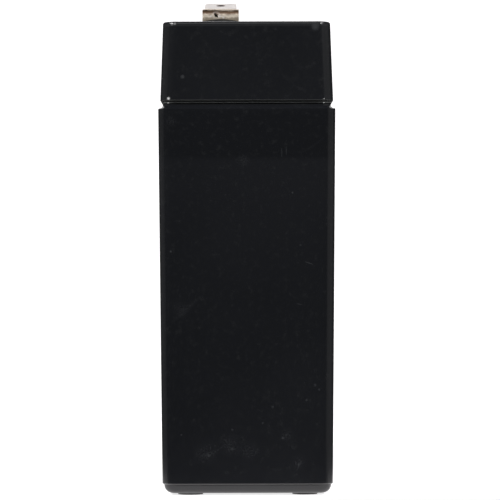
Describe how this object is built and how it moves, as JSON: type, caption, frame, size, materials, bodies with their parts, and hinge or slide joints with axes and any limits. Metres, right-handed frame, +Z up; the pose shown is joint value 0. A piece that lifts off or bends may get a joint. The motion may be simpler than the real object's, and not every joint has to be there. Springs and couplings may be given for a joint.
{
  "type": "sealed lead-acid battery",
  "caption": "Narrow black sealed lead-acid battery with a cemented cover, folded tab terminals at both ends of its top, and plate packs in separate cells.",
  "frame": {"origin": "middle of the footprint, on the surface that the feet stand on", "axes": "+Z up; +Y along the length, from the negative terminal to the positive one; +X across the width, with both terminals on the -X side"},
  "size_m": [0.0352, 0.151, 0.0985],
  "materials": {
    "case_black": "satin moulded ABS",
    "tab_tin": "tin plated brass, tarnished",
    "resin_black": "cast glossy epoxy",
    "resin_red": "cast glossy epoxy",
    "rubber_black": "moulded, matt",
    "lead_cast": "cast lead alloy, dull",
    "plate_negative": "pasted sponge lead, matt grey",
    "plate_positive": "pasted lead dioxide, matt brown",
    "glass_mat": "absorbent glass mat, white"
  },
  "bodies": {
    "root": {"container": "case_black", "cover": "case_black", "plate_negative_1_1": "plate_negative", "plate_negative_1_2": "plate_negative", "plate_negative_1_3": "plate_negative", "plate_negative_1_4": "plate_negative", "plate_negative_1_5": "plate_negative", "plate_negative_2_1": "plate_negative", "plate_negative_2_2": "plate_negative", "plate_negative_2_3": "plate_negative", "plate_negative_2_4": "plate_negative", "plate_negative_2_5": "plate_negative", "plate_negative_3_1": "plate_negative", "plate_negative_3_2": "plate_negative", "plate_negative_3_3": "plate_negative", "plate_negative_3_4": "plate_negative", "plate_negative_3_5": "plate_negative", "plate_positive_1_1": "plate_positive", "plate_positive_1_2": "plate_positive", "plate_positive_1_3": "plate_positive", "plate_positive_1_4": "plate_positive", "plate_positive_2_1": "plate_positive", "plate_positive_2_2": "plate_positive", "plate_positive_2_3": "plate_positive", "plate_positive_2_4": "plate_positive", "plate_positive_3_1": "plate_positive", "plate_positive_3_2": "plate_positive", "plate_positive_3_3": "plate_positive", "plate_positive_3_4": "plate_positive", "separator_1_1": "glass_mat", "separator_1_2": "glass_mat", "separator_1_3": "glass_mat", "separator_1_4": "glass_mat", "separator_2_1": "glass_mat", "separator_2_2": "glass_mat", "separator_2_3": "glass_mat", "separator_2_4": "glass_mat", "separator_3_1": "glass_mat", "separator_3_2": "glass_mat", "separator_3_3": "glass_mat", "separator_3_4": "glass_mat", "strap_negative_1": "lead_cast", "strap_negative_2": "lead_cast", "strap_negative_3": "lead_cast", "strap_positive_1": "lead_cast", "strap_positive_2": "lead_cast", "strap_positive_3": "lead_cast", "terminal_gasket_negative": "rubber_black", "terminal_gasket_positive": "rubber_black", "terminal_seal_negative": "resin_black", "terminal_seal_positive": "resin_red", "terminal_tab_negative": "tab_tin", "terminal_tab_positive": "tab_tin", "valve_cap_1": "rubber_black", "valve_cap_2": "rubber_black", "valve_cap_3": "rubber_black", "vent_strip": "case_black"}
  },
  "joints": []
}
